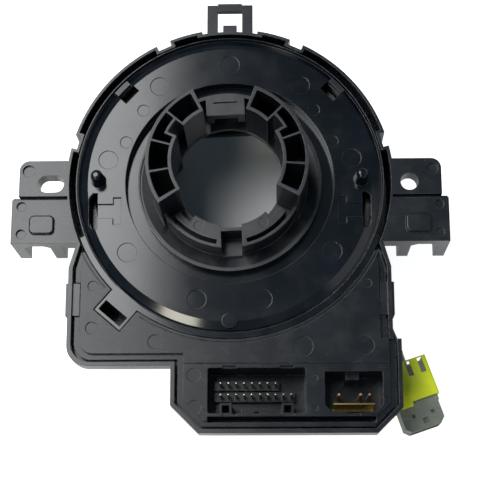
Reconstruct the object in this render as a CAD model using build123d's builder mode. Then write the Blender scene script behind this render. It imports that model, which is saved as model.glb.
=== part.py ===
"""Steering clock spring, in millimetres.

The stator is bolted to the column switch by two ears. The rotor turns with the
steering wheel, about +Z, and a flat cable between them winds and unwinds. The part
lies on its front: the plane z = 0 is where the rotor's boss and tower touch down,
and +Z runs along the column, through the ribbed hub sleeve at the back.
"""

from build123d import *
from math import cos, degrees, radians, sin, sqrt, tan
import os

os.makedirs("parts", exist_ok=True)

# ------------------------------------------------------------------ fits
slide_gap = 0.3  # between pieces that slide or turn on each other
pin_gap = 0.15  # round a roller's pin
seat_gap = 0.2  # round a piece that is pushed into its seat

# ------------------------------------------------------------------ levels
front_stand = 9.5  # boss and tower in front of the rotor disc
disc_t = 2.4
disc_gap = 0.5  # rotor disc to the case's front edge
case_depth = 19.6  # case, front edge to back face
disc_back = front_stand + disc_t
case_front = disc_back + disc_gap
plate_top = case_front + case_depth

# ------------------------------------------------------------------ stator case
chamber_r = 45.4  # cable chamber
case_past = 5.8  # outside of the round wall, past the chamber
case_wall = 0.9
chamber_wall = 1.5
chamber_wall_drop = 2.4  # top of the chamber wall below the back face
floor_t = 1.8
skirt_wall = 1.3
skirt_h = 6.0  # full-width part of the skirt, from the back face
skirt_step = 2.4  # how far the body below it stands in
wiring_in = 1.6  # wiring box's sides, inside the round wall
wiring_past = 12.6  # its lower side, past the chamber
wiring_corner_r = 6.5
box_left = 17.8
box_right = 52.1
box_past = 20.4  # connector box's lower side, past the wiring box
box_lap = 8.0  # how far it runs up into the wiring box
box_corner_left = 8.5
box_corner_right = 7.7

notch_angles = (15.5, 65.3, 114.7, 164.5)
notch_w = 4.6
notch_depth = 1.8
notch_wall = 0.9

# ------------------------------------------------------------------ ears
mount_pitch = 112.0
mount_y = -0.4
mount_hole_d = 5.5
mount_slot_l = 8.2
ear_t = 6.0
ear_top = 7.2
ear_tip = 10.0  # ear's tip past its fixing hole
ear_corner_r = 3.2
ear_split_y = -4.4  # groove between the plate and the block below it
ear_groove_w = 1.1
ear_groove_depth = 2.4
ear_bottom = -19.6
block_tip = 12.0  # block's tip past the fixing hole
block_inner = 3.1  # its inner side, inside the fixing hole
block_foot = 0.6  # the ear's feet above the case's front edge
leg_t = 3.5
block_roof_t = 3.8
block_haunch = 2.0
web_drop = 11.0  # lower edge of the cross web, from the back face
web_t = 1.5
web_back = 3.6
shoulder_in = 2.4  # slanted shoulders of the wiring box beside the ears
shoulder_top = 19.0
shoulder_l = 8.4
pad_w = 7.8
pad_l = 6.0
pad_x = 2.4  # past the fixing hole
pad_y = -13.8
pad_h = 1.2
pad_r = 1.6
pad_edge = 0.5
ear_marks = ((7.1, 3.9, 1.9), (9.0, -7.7, 1.5), (8.9, -16.6, 1.5))
ear_mark_depth = 0.9
mark_depth = 0.25

# ------------------------------------------------------------------ top loop
loop_half_w = 7.3
loop_past = 8.3  # loop's top past the round wall
loop_bar = 2.1
loop_leg = 3.4
loop_t = 2.2
loop_lap = 2.6  # how far its legs run in under the wall
loop_pad_half_w = 3.9
loop_pad_h = 0.5
tab_half_w = 2.2
tab_past = 1.3
relief_depth = 0.9
relief_half_angle = 10.0

# ------------------------------------------------------------------ snap catches
catch_angles = (43.0, 137.5)
catch_w = 6.0
catch_slot_deep = 3.5  # slot's inner end, inside the chamber's radius
catch_arm_t = 1.0
catch_head_t = 0.6
side_catch_past = 0.8
side_catch_low = 1.2  # top of the side catches, below the back face
side_catch_half_l = 5.1
side_catch_y = -37.2
side_catch_depth = 8.0
side_catch_reach = 2.3

# ------------------------------------------------------------------ dish cover
dish_inner_r = 32.6
dish_flat_in = 1.0  # edge of the flat, inside the chamber's radius
dish_slope_past = 2.2  # foot of the slope, past the chamber
dish_slope_drop = 1.6
dish_rim_drop = 0.2
dish_past = 4.3  # rim beside the terminal housing, past the chamber
dish_upper_past = 2.8  # narrower rim on the round side
dish_upper_start = -21.0
dish_floor_t = 2.0
dish_wall = 1.2
ledge_t = 1.5
ledge_drop = 4.1  # ledge face below the back face
spigot_t = 1.1
spigot_h = 1.2
disc_mark_r = 3.0
disc_mark_ring_r = 38.9
disc_mark_angles = (90, 55, 125, 11, 169, -35.5, -144.5, -75, -105)
small_mark_r = 1.9
small_marks = ((36.2, 139.0), (35.2, 158.0), (34.7, 22.0), (35.4, 41.5))
peg_x = 41.0
peg_y = 0.5
peg_base_r = 2.4
peg_tip_r = 1.7
peg_h = 7.0
peg_dome = 1.2
gate_y = -44.3
gate_r = 2.3
gate_h = 0.9
tongue_y = -9.3
tongue_w = 4.6
tongue_in = 33.8
tongue_bar_w = 2.5
tongue_bar_l = 8.8
tongue_depth = 0.8
tongue_slot_deep = 4.2  # slot's inner side, inside the chamber's radius
tongue_slot_w = 2.7
tongue_slot_l = 11.6
tongue_slot_cut = 1.5
window_angle = 229.5
window_past = 7.9  # window tab, past the dish's rim
window_half_w = 5.1
window_open = 3.4  # start of the opening, past the dish's rim
window_edge = 1.0
window_open_half_w = 4.3

# ------------------------------------------------------------------ terminal housing
cover_gap = 0.8  # housing to the skirt
cover_border = 1.7  # the sloped band round the plate
cover_border_drop = 1.5
cover_t = 2.8
cover_top_y = -22.5
cover_groove_in = 0.7  # groove, past the plate's inner edge
cover_groove_w = 0.4
cover_groove_depth = 0.4
cover_groove_start = 205.0
cover_groove_end = 335.0
cover_groove_break = 8.0  # half of its gap at the window tab
block_top_in = 0.8  # connector block's top side, inside the wiring box
block_drop = 0.6
block_depth_gap = 0.6  # block to the case floor
cover_marks = (
    (-41.9, -33.2, 1.6),
    (-42.0, -46.3, 1.9),
    (-22.6, -50.6, 2.2),
    (22.3, -52.2, 3.1),
    (41.0, -51.9, 2.9),
    (42.1, -32.8, 1.4),
)
block_marks = ((-4.2, -2.2, 2.1), (-3.9, -11.9, 2.1))  # from the socket's corner
tray_down = 0.9  # the low tray starts below the main socket
tray_drop = 9.0
tray_short = 2.2  # its end, short of the airbag socket's

socket_in = 11.2  # main socket, from the box's left side
socket_w = 29.6
socket_down = 1.4  # from the block's top side
socket_l = 13.8
socket_corner_r = 0.8
socket_floor_t = 2.2
socket_notch_w = 4.2
socket_notch_depth = 0.7
socket_notch_h = 1.4
socket_notch_x = (6.6, 24.0)  # from the socket's left side
key_w = 3.6
key_hole = 2.3
key_x = (5.4, 24.2)
key_h = 3.6
key_drop = 4.5
centre_key_w = 9.4
centre_key_x = 14.8
centre_slot_w = 1.6
bed_h = 2.6  # raised beds that the pins stand in
bed_l = 3.0
bed_in = 1.6  # their ends, from the socket's left side
pilot_x = 2.9  # from the socket's right side
pilot_r = 0.8
pilot_y = (-3.2, -12.2)  # from the socket's top side

srs_past = 5.7  # airbag socket, from the main socket's right side
srs_w = 17.5
srs_down = 2.6
srs_l = 12.5
srs_bevel = 2.4
srs_key_w = 4.0
srs_key_x = 8.5
srs_key_h = 2.0

pin = 0.64
pin_pitch = 2.4
pin_row_y = (-3.8, -7.3)  # from the socket's top side
pin_counts = (8, 10)
pin_first_x = 3.7
pin_h = 9.0
srs_pins_x = (4.4, 11.0, 13.7)
srs_pin_y = -6.4
srs_pin_d = 1.1
srs_pin_h = 10.0
shunt_w = 12.6
shunt_t = 0.5
shunt_y = -9.4
shunt_h = 9.0
shunt_foot = 1.0

# ------------------------------------------------------------------ flat cable
cable_floor = 0.9  # cable above the case's front edge
cable_gap = 0.9  # cable to the dish cover's ledge
outer_pack_t = 2.2
inner_pack_t = 2.5
cable_t = 0.6
lead_block_w = 18.0
lead_block_l = 6.0
lead_block_h = 9.0
lead_block_x = 8.0

# ------------------------------------------------------------------ rotor
rest_turn = 2.6  # the wheel's turn from straight ahead, as the part lies
rotor_disc_past = 3.0  # rotor disc, past the chamber
rotor_bore_r = 22.3
rotor_tube_bore = 24.2
rotor_tube_wall = 1.9
cable_way_start = 44.0  # the bore is wider here, out to the tube, with a flat side
cable_way_flat = 22.4
boss_wall = 3.1
tower_w = 34.0
tower_l = 13.0
tower_y = -35.5
tower_wall = 1.6
tower_floor = 1.6
drive_pin_d = 6.0
drive_pin_x = 34.0
drive_pin_y = 18.0
drive_pin_drop = 2.0
switch_pin_rows = (-33.6, -37.4)
switch_pin_count = 8
switch_pin_pitch = 3.2
switch_pin_h = 5.6
slip_margin = 0.6  # slip sheet, from the tube and from the chamber
slip_t = 0.25

# ------------------------------------------------------------------ hub sleeve
hub_top = 55.4
hub_r = 24.3
hub_bore_r = 16.6
hub_floor_bore_r = 16.4  # the round opening in the sleeve's floor
hub_wall = 1.0
hub_inner_wall = 1.0
hub_end_wall = 1.0
hub_rib = 0.6
hub_skirt_wall = 2.4
hub_skirt_h = 2.0
hub_web = 3.6  # floor of the sleeve, above its collar
hub_web_t = 1.2
collar_r = 28.7
collar_lip = 0.6
collar_lip_h = 0.8
collar_floor_drop = 1.6
high_start = -31.3
high_end = 67.4
rib_angles = (42.2, 17.6, -6.9)
key_end = 28.2
key_r = 19.6
key_wall = 0.8
low_drop = 14.9  # low sectors below the hub's top
low_r = 23.5
low_start = -37.0
low_inner_r = 19.1  # ends of the low sectors, cut back
low_inner_start = -50.0
low_slot_in = 21.2
low_slot_out = 22.6
low_slot_end = -78.0
low_mark_r = 1.45
low_mark_ring_r = 18.8
low_mark_angle = -58.5
channel_half_w = 3.2
channel_in = 18.2
channel_bar = 1.0
channel_step_in = 19.7
channel_step = 1.4
latch_drop = 10.4
latch_h = 7.0
latch_half_w = 5.9
latch_in = 17.3
latch_out = 21.4
latch_foot_w = 2.2
latch_arch_h = 4.0
latch_arch_l = 2.4
latch_slot_w = 0.4
latch_slot_depth = 1.2

# ------------------------------------------------------------------ roller carrier
roller_count = 6
roller_gap = 0.55  # rollers to the cable packs
roller_pin_r = 1.3
carrier_t = 1.2
carrier_margin = 0.6  # carrier to the cable packs
carrier_roller_turn = 30.0
roller_rise = 0.3

# ------------------------------------------------------------------ airbag lead
tube_d = 4.0
wire_d = 1.8
wire_gap = 0.2
plug_turn = 19.0  # lean of the plug from -Y
plug_wire_end = (54.0, -53.6)
plug_l = 21.9
sleeve_l = 14.3
sleeve_w = 15.1
sleeve_t = 11.6
sleeve_wall = 0.85
plug_body_w = 12.9
plug_body_t = 9.4
plug_corner = 1.6
plug_set_in = 1.6  # wire end of the body inside the sleeve
plug_mouth_w = 9.6
plug_mouth_t = 6.0
plug_mouth_depth = 8.0
plug_pin_l = 4.0
sleeve_slot_w = 1.6
sleeve_slot_l = 4.8
sleeve_slot_from = 0.4
sleeve_slots = (1.2, 5.3)
sleeve_step = 1.4
sleeve_step_w = 9.0
body_holes = ((-2.6, 17.3, 1.1), (3.6, 17.7, 1.1), (0.6, 19.6, 1.6))
body_hole_depth = 1.0
wire_l = 3.4  # bare wires between the tube and the plug
clip_w = 9.0
clip_l = 8.0
clip_x = 39.0
clip_y = -5.4
lead_z = 4.6
lead_last = 6.5  # last straight run, in line with the plug
lead_way = ((39.6, -17.0, lead_z), (42.6, -26.5, 3.0), (47.2, -35.6, 3.2))

# ------------------------------------------------------------------ worked-out places
diag = 2 - sqrt(2)  # how a 45 degree corner shortens when its sides move in
case_r = chamber_r + case_past
wiring_half_w = case_r - wiring_in
wiring_bottom = chamber_r + wiring_past
box_bottom = wiring_bottom + box_past
box_top = wiring_bottom - box_lap
mount_x = mount_pitch / 2
ear_tip_x = mount_x + ear_tip
block_tip_x = mount_x + block_tip
block_inner_x = mount_x - block_inner
loop_top = case_r + loop_past
loop_root = case_r - loop_lap
tab_top = case_r + tab_past
side_catch_x = wiring_half_w + side_catch_past
dish_flat_r = chamber_r - dish_flat_in
dish_slope_r = chamber_r + dish_slope_past
dish_r = chamber_r + dish_past
dish_upper_r = chamber_r + dish_upper_past
catch_slot_in = chamber_r - catch_slot_deep
tongue_slot_in = chamber_r - tongue_slot_deep
window_out = dish_r + window_past
window_open_in = dish_r + window_open
window_open_out = window_out - window_edge
cover_inner_r = dish_r + slide_gap
cover_groove_r = cover_inner_r + cover_groove_in
block_top_y = block_top_in - wiring_bottom
socket_left = socket_in - box_left
socket_right = socket_left + socket_w
socket_top = block_top_y - socket_down
socket_bottom = socket_top - socket_l
srs_left = socket_right + srs_past
srs_right = srs_left + srs_w
srs_top = block_top_y - srs_down
srs_bottom = srs_top - srs_l
rotor_disc_r = chamber_r + rotor_disc_past
rotor_tube_r = rotor_tube_bore + rotor_tube_wall
boss_r = rotor_bore_r + boss_wall
ledge_inner_r = rotor_tube_r + slide_gap
slip_inner_r = rotor_tube_r + slip_margin
slip_outer_r = chamber_r - slip_margin
hub_skirt_r = rotor_tube_bore - seat_gap
hub_neck_r = hub_skirt_r - hub_skirt_wall
skirt_bottom = plate_top - skirt_h
floor_top = case_front + floor_t
chamber_top = plate_top - chamber_wall_drop
ledge_top = plate_top - ledge_drop
ledge_bottom = ledge_top - ledge_t
collar_bottom = ledge_top + slide_gap
cable_bottom = case_front + cable_floor
cable_w = ledge_bottom - cable_gap - cable_bottom
outer_pack_r = chamber_r - slide_gap
outer_pack_in = outer_pack_r - outer_pack_t
inner_pack_in = rotor_tube_r + slide_gap
inner_pack_r = inner_pack_in + inner_pack_t
roller_ring_r = (outer_pack_in + inner_pack_r) / 2
roller_r = (outer_pack_in - inner_pack_r) / 2 - roller_gap
turn_r = (outer_pack_in - inner_pack_r) / 2 - slide_gap
block_floor = floor_top + block_depth_gap
socket_floor = block_floor + socket_floor_t
rotor_turned = Plane.XY.rotated((0, 0, rest_turn))


def at(radius, angle):
    """The point at a radius and a direction in degrees."""
    return (radius * cos(radians(angle)), radius * sin(radians(angle)))


def ring_sector(inner, outer, start, end):
    """A piece of a flat ring, between two radii and two directions."""
    with BuildSketch(mode=Mode.PRIVATE) as piece:
        with BuildLine():
            CenterArc((0, 0), inner, start, end - start)
            CenterArc((0, 0), outer, start, end - start)
            Line(at(inner, start), at(outer, start))
            Line(at(inner, end), at(outer, end))
        make_face()
    return piece.sketch


def connector_outline(inset):
    """Outline of the connector box, with its two cut corners."""
    left = -box_left + inset
    right = box_right - inset
    bottom = -box_bottom + inset
    cut_left = box_corner_left - inset * diag
    cut_right = box_corner_right - inset * diag
    with BuildSketch(mode=Mode.PRIVATE) as outline:
        Polygon(
            (left, -box_top),
            (left, bottom + cut_left),
            (left + cut_left, bottom),
            (right - cut_right, bottom),
            (right, bottom + cut_right),
            (right, -box_top),
            align=None,
        )
    return outline.sketch


def case_outline(inset, round_inset=0.0):
    """Outline of the whole case: round chamber, wiring box and connector box."""
    height = wiring_bottom - inset
    half_w = wiring_half_w - inset
    shoulder_x = half_w - shoulder_in
    with BuildSketch(mode=Mode.PRIVATE) as outline:
        with Locations((0, -height / 2)):
            RectangleRounded(2 * half_w, height, wiring_corner_r - inset * diag)
        for side in (-1, 1):
            Polygon(
                (side * shoulder_x, 1),
                (side * shoulder_x, -shoulder_top),
                (side * half_w, -shoulder_top - shoulder_l),
                (side * (half_w + 1), -shoulder_top - shoulder_l),
                (side * (half_w + 1), 1),
                align=None,
                mode=Mode.SUBTRACT,
            )
        Circle(case_r - round_inset)
        add(connector_outline(inset))
    return outline.sketch


# ------------------------------------------------------------------ stator case
body_inset = skirt_step
inner_inset = skirt_step + skirt_wall
channel_w = block_tip_x - block_inner_x - 2 * leg_t
channel_h = case_depth - block_roof_t
catch_in = chamber_r + seat_gap
catch_out = catch_in + catch_arm_t
catch_head = dish_slope_r - slide_gap - catch_out
catch_half = degrees((catch_w / 2 - slide_gap) / chamber_r)

with BuildPart() as stator_case:
    # blocks beside the ears, open channels below a roof, clear of the case's hollow
    with BuildSketch(Plane.XZ.offset(-ear_split_y)):
        with Locations((0, plate_top)):
            Rectangle(
                2 * block_tip_x,
                case_depth - block_foot,
                align=(Align.CENTER, Align.MAX),
            )
        for side in (-1, 1):
            with Locations(
                (side * (block_tip_x + block_inner_x) / 2, plate_top - block_roof_t)
            ):
                Polygon(
                    (-channel_w / 2, -channel_h),
                    (-channel_w / 2, -block_haunch),
                    (block_haunch - channel_w / 2, 0),
                    (channel_w / 2 - block_haunch, 0),
                    (channel_w / 2, -block_haunch),
                    (channel_w / 2, -channel_h),
                    align=None,
                    mode=Mode.SUBTRACT,
                )
        with Locations((0, plate_top - ear_t)):
            Rectangle(
                2 * block_inner_x,
                case_depth,
                align=(Align.CENTER, Align.MAX),
                mode=Mode.SUBTRACT,
            )
    extrude(amount=ear_split_y - ear_bottom)
    with BuildSketch(Plane.XY.offset(case_front)):
        add(case_outline(skirt_wall / 2, case_wall / 2))
    extrude(amount=case_depth, mode=Mode.SUBTRACT)
    # front plate round the rotor's opening
    with BuildSketch(Plane.XY.offset(case_front)):
        add(case_outline(body_inset))
        Circle(chamber_r, mode=Mode.SUBTRACT)
    extrude(amount=floor_t)
    # body wall, its step and the full-width skirt
    with BuildSketch(Plane.XY.offset(case_front)):
        add(case_outline(body_inset))
        add(case_outline(inner_inset, case_wall), mode=Mode.SUBTRACT)
    extrude(amount=case_depth - skirt_h + skirt_wall)
    with BuildSketch(Plane.XY.offset(skirt_bottom)):
        add(case_outline(0))
        add(case_outline(inner_inset, case_wall), mode=Mode.SUBTRACT)
    extrude(amount=skirt_wall)
    with BuildSketch(Plane.XY.offset(skirt_bottom)):
        add(case_outline(0))
        add(case_outline(skirt_wall, case_wall), mode=Mode.SUBTRACT)
    extrude(amount=skirt_h)
    # chamber wall
    with BuildSketch(Plane.XY.offset(case_front)):
        Circle(chamber_r + chamber_wall)
        Circle(chamber_r, mode=Mode.SUBTRACT)
    extrude(amount=chamber_top - case_front)
    # recesses in the round wall, each with its own wall behind it
    with BuildSketch(Plane.XY.offset(case_front)):
        for angle in notch_angles:
            with Locations(Location((0, 0, 0), (0, 0, angle))):
                with Locations((case_r - notch_depth - notch_wall, 0)):
                    Rectangle(
                        notch_depth + notch_wall / 2,
                        notch_w + 2 * notch_wall,
                        align=(Align.MIN, Align.CENTER),
                    )
    extrude(amount=case_depth)
    with BuildSketch(Plane.XY.offset(case_front)):
        for angle in notch_angles:
            with Locations(Location((0, 0, 0), (0, 0, angle))):
                with Locations((case_r - notch_depth, 0)):
                    Rectangle(
                        2 * notch_depth, notch_w, align=(Align.MIN, Align.CENTER)
                    )
    extrude(amount=case_depth, mode=Mode.SUBTRACT)
    # harness loop, on a relieved stretch of the wall
    with BuildSketch(Plane.XY.offset(case_front)):
        add(
            ring_sector(
                case_r - relief_depth,
                case_r + relief_depth,
                90 - relief_half_angle,
                90 + relief_half_angle,
            )
        )
    extrude(amount=case_depth, mode=Mode.SUBTRACT)
    with BuildSketch(Plane.XY.offset(case_front)):
        add(
            ring_sector(
                case_r - relief_depth - case_wall,
                case_r - relief_depth,
                90 - relief_half_angle - 2,
                90 + relief_half_angle + 2,
            )
        )
    extrude(amount=case_depth)
    with BuildSketch(Plane.XY.offset(plate_top - loop_t)):
        with Locations((0, loop_root)):
            Rectangle(
                2 * loop_half_w, loop_top - loop_root, align=(Align.CENTER, Align.MIN)
            )
        with Locations((0, loop_top - loop_bar)):
            Rectangle(
                2 * (loop_half_w - loop_leg),
                loop_top - loop_bar - loop_root + 1,
                align=(Align.CENTER, Align.MAX),
                mode=Mode.SUBTRACT,
            )
        Circle(case_r - relief_depth - case_wall / 2, mode=Mode.SUBTRACT)
        with Locations((0, loop_top)):
            Rectangle(2 * loop_pad_half_w, 2 * loop_pad_h)
    extrude(amount=loop_t)
    with BuildSketch(Plane.XY.offset(plate_top - loop_t)):
        with Locations((0, tab_top)):
            Rectangle(
                2 * tab_half_w,
                tab_top - case_r + relief_depth + case_wall / 2,
                align=(Align.CENTER, Align.MAX),
            )
    extrude(amount=loop_t)
    # ears: a plate with the fixing hole, beside each block
    with BuildSketch(Plane.XY.offset(plate_top - ear_t)):
        with Locations((0, (ear_top + ear_split_y) / 2)):
            Rectangle(2 * ear_tip_x, ear_top - ear_split_y)
        fillet(vertices().group_by(Axis.Y)[-1], ear_corner_r)
        Circle(case_r - case_wall / 2, mode=Mode.SUBTRACT)
    extrude(amount=ear_t)
    # cross webs in the channels
    with BuildSketch(Plane.XZ.offset(-ear_bottom - web_back)):
        for side in (-1, 1):
            with Locations((side * (block_tip_x + block_inner_x) / 2, plate_top)):
                Rectangle(
                    block_tip_x - block_inner_x - leg_t,
                    web_drop,
                    align=(Align.CENTER, Align.MAX),
                )
    extrude(amount=-web_t)
    # groove between ear plate and block
    with BuildSketch(Plane.XY.offset(plate_top)):
        for side in (-1, 1):
            with Locations((side * (block_tip_x + case_r) / 2, ear_split_y)):
                Rectangle(
                    block_tip_x - case_r + 1,
                    ear_groove_w,
                    align=(Align.CENTER, Align.MAX),
                )
    extrude(amount=-ear_groove_depth, mode=Mode.SUBTRACT)
    # fixing holes: a slot on the left, a round hole on the right
    with BuildSketch(Plane.XY.offset(plate_top)):
        with Locations((-mount_x, mount_y)):
            SlotOverall(mount_slot_l, mount_hole_d)
        with Locations((mount_x, mount_y)):
            Circle(mount_hole_d / 2)
    extrude(amount=-ear_t, mode=Mode.SUBTRACT)
    # pads and moulding marks on the ears
    with BuildSketch(Plane.XY.offset(plate_top)):
        with Locations((-mount_x - pad_x, pad_y), (mount_x + pad_x, pad_y)):
            RectangleRounded(pad_w, pad_l, pad_r)
    extrude(amount=pad_h)
    fillet(faces().group_by(Axis.Z)[-1].edges(), pad_edge)
    with BuildSketch(Plane.XY.offset(plate_top)):
        for x, y, r in ear_marks:
            with Locations((-mount_x - x, y), (mount_x + x, y)):
                Circle(r)
    extrude(amount=-ear_mark_depth, mode=Mode.SUBTRACT)
    # arms that catch the dish cover, standing on the chamber wall
    with BuildSketch(Plane.XY.offset(chamber_top - catch_head)):
        for angle in catch_angles:
            add(ring_sector(catch_in, catch_out, angle - catch_half, angle + catch_half))
    extrude(amount=catch_head + chamber_wall_drop - slide_gap)
    with BuildSketch(Plane.XY.offset(plate_top - slide_gap)):
        for angle in catch_angles:
            add(
                ring_sector(
                    catch_in,
                    catch_out + catch_head,
                    angle - catch_half,
                    angle + catch_half,
                )
            )
    extrude(amount=-catch_head_t)
    # side catches for the terminal housing
    with BuildSketch(Plane.XY.offset(plate_top - side_catch_low)):
        for side in (-1, 1):
            with Locations((side * side_catch_x, side_catch_y)):
                Rectangle(
                    side_catch_x - wiring_half_w + skirt_wall + side_catch_reach,
                    2 * side_catch_half_l,
                    align=(Align.MAX if side > 0 else Align.MIN, Align.CENTER),
                )
    extrude(amount=side_catch_low - side_catch_depth)

# ------------------------------------------------------------------ dish cover
with BuildPart() as dish_cover:
    with BuildSketch(Plane.XZ):
        with BuildLine():
            Polyline(
                (ledge_inner_r, ledge_bottom),
                (ledge_inner_r, ledge_top),
                (dish_inner_r, ledge_top),
                (dish_inner_r, plate_top),
                (dish_flat_r, plate_top),
                (dish_slope_r, plate_top - dish_slope_drop),
                (dish_slope_r + slide_gap, plate_top - dish_rim_drop),
                (dish_r, plate_top - dish_rim_drop),
                (dish_r, chamber_top),
                (chamber_r - slide_gap, chamber_top),
                (chamber_r - slide_gap, chamber_top - spigot_h),
                (chamber_r - slide_gap - spigot_t, chamber_top - spigot_h),
                (chamber_r - slide_gap - spigot_t, plate_top - dish_floor_t),
                (dish_inner_r + dish_wall, plate_top - dish_floor_t),
                (dish_inner_r + dish_wall, ledge_bottom),
                close=True,
            )
        make_face()
    revolve(axis=Axis.Z)
    # the rim is narrower where it stands free of the terminal housing
    with BuildSketch(Plane.XY.offset(ledge_bottom)):
        add(
            ring_sector(
                dish_upper_r, dish_r + 1, dish_upper_start, 180 - dish_upper_start
            )
        )
    extrude(amount=plate_top, mode=Mode.SUBTRACT)
    # tab with the inspection window
    with BuildSketch(Plane.XY.offset(chamber_top)):
        with Locations(Location((0, 0, 0), (0, 0, window_angle))):
            with Locations((dish_slope_r, 0)):
                Rectangle(
                    window_out - dish_slope_r,
                    2 * window_half_w,
                    align=(Align.MIN, Align.CENTER),
                )
            with Locations(((window_open_in + window_open_out) / 2, 0)):
                Rectangle(
                    window_open_out - window_open_in,
                    2 * window_open_half_w,
                    mode=Mode.SUBTRACT,
                )
    extrude(amount=chamber_wall_drop - dish_rim_drop)
    # slots for the case's catches and for the side tongues
    with BuildSketch(Plane.XY.offset(plate_top)):
        for angle in catch_angles:
            with Locations(Location((0, 0, 0), (0, 0, angle))):
                with Locations((catch_slot_in, 0)):
                    Rectangle(
                        catch_out + slide_gap - catch_slot_in,
                        catch_w,
                        align=(Align.MIN, Align.CENTER),
                    )
        for side in (-1, 1):
            with Locations((0, tongue_y)):
                Polygon(
                    (side * tongue_slot_in, -tongue_slot_l / 2),
                    (side * tongue_slot_in, tongue_slot_l / 2),
                    (side * (tongue_slot_in + tongue_slot_cut), tongue_slot_l / 2),
                    (
                        side * (tongue_slot_in + tongue_slot_w),
                        tongue_slot_l / 2 - tongue_slot_cut,
                    ),
                    (
                        side * (tongue_slot_in + tongue_slot_w),
                        tongue_slot_cut - tongue_slot_l / 2,
                    ),
                    (side * (tongue_slot_in + tongue_slot_cut), -tongue_slot_l / 2),
                    align=None,
                )
    extrude(amount=-chamber_wall_drop - spigot_h, mode=Mode.SUBTRACT)
    # tee-shaped beds of the tongues
    with BuildSketch(Plane.XY.offset(plate_top)):
        for side in (-1, 1):
            with Locations((side * tongue_in, tongue_y)):
                Rectangle(
                    tongue_slot_in - tongue_in + 1,
                    tongue_w,
                    align=(Align.MIN if side > 0 else Align.MAX, Align.CENTER),
                )
                Rectangle(
                    tongue_bar_w,
                    tongue_bar_l,
                    align=(Align.MIN if side > 0 else Align.MAX, Align.CENTER),
                )
    extrude(amount=-tongue_depth, mode=Mode.SUBTRACT)
    # moulding marks
    with BuildSketch(Plane.XY.offset(plate_top)):
        for angle in disc_mark_angles:
            with Locations(at(disc_mark_ring_r, angle)):
                Circle(disc_mark_r)
        for radius, angle in small_marks:
            with Locations(at(radius, angle)):
                Circle(small_mark_r)
    extrude(amount=-mark_depth, mode=Mode.SUBTRACT)
    # guide pegs and the gate boss
    for side in (-1, 1):
        with Locations((side * peg_x, peg_y, plate_top - dish_floor_t / 2)):
            Cone(
                peg_base_r,
                peg_tip_r,
                peg_h + dish_floor_t / 2,
                align=(Align.CENTER, Align.CENTER, Align.MIN),
            )
    fillet(edges().filter_by(GeomType.CIRCLE).group_by(Axis.Z)[-1], peg_dome)
    with Locations((0, gate_y, plate_top - dish_floor_t / 2)):
        Cylinder(
            gate_r,
            dish_floor_t / 2 + gate_h / 2,
            align=(Align.CENTER, Align.CENTER, Align.MIN),
        )

# ------------------------------------------------------------------ terminal housing
housing_inset = skirt_wall + cover_gap
plate_inset = housing_inset + cover_border
well_inset = inner_inset + slide_gap


def cover_area(inset):
    """The area that the housing's plate may fill, round the dish cover."""
    with BuildSketch(mode=Mode.PRIVATE) as area:
        add(case_outline(inset))
        Circle(cover_inner_r, mode=Mode.SUBTRACT)
        with Locations((0, cover_top_y)):
            Rectangle(
                3 * case_r,
                3 * case_r,
                align=(Align.CENTER, Align.MIN),
                mode=Mode.SUBTRACT,
            )
        with Locations(Location((0, 0, 0), (0, 0, window_angle))):
            with Locations((cover_inner_r - 1, 0)):
                Rectangle(
                    window_out + slide_gap - cover_inner_r + 1,
                    2 * (window_half_w + slide_gap),
                    align=(Align.MIN, Align.CENTER),
                    mode=Mode.SUBTRACT,
                )
        for side in (-1, 1):
            reach = wiring_half_w - skirt_wall - side_catch_reach - slide_gap
            with Locations((side * reach, side_catch_y)):
                Rectangle(
                    case_r,
                    2 * (side_catch_half_l + slide_gap),
                    align=(Align.MIN if side > 0 else Align.MAX, Align.CENTER),
                    mode=Mode.SUBTRACT,
                )
    return area.sketch


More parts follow.
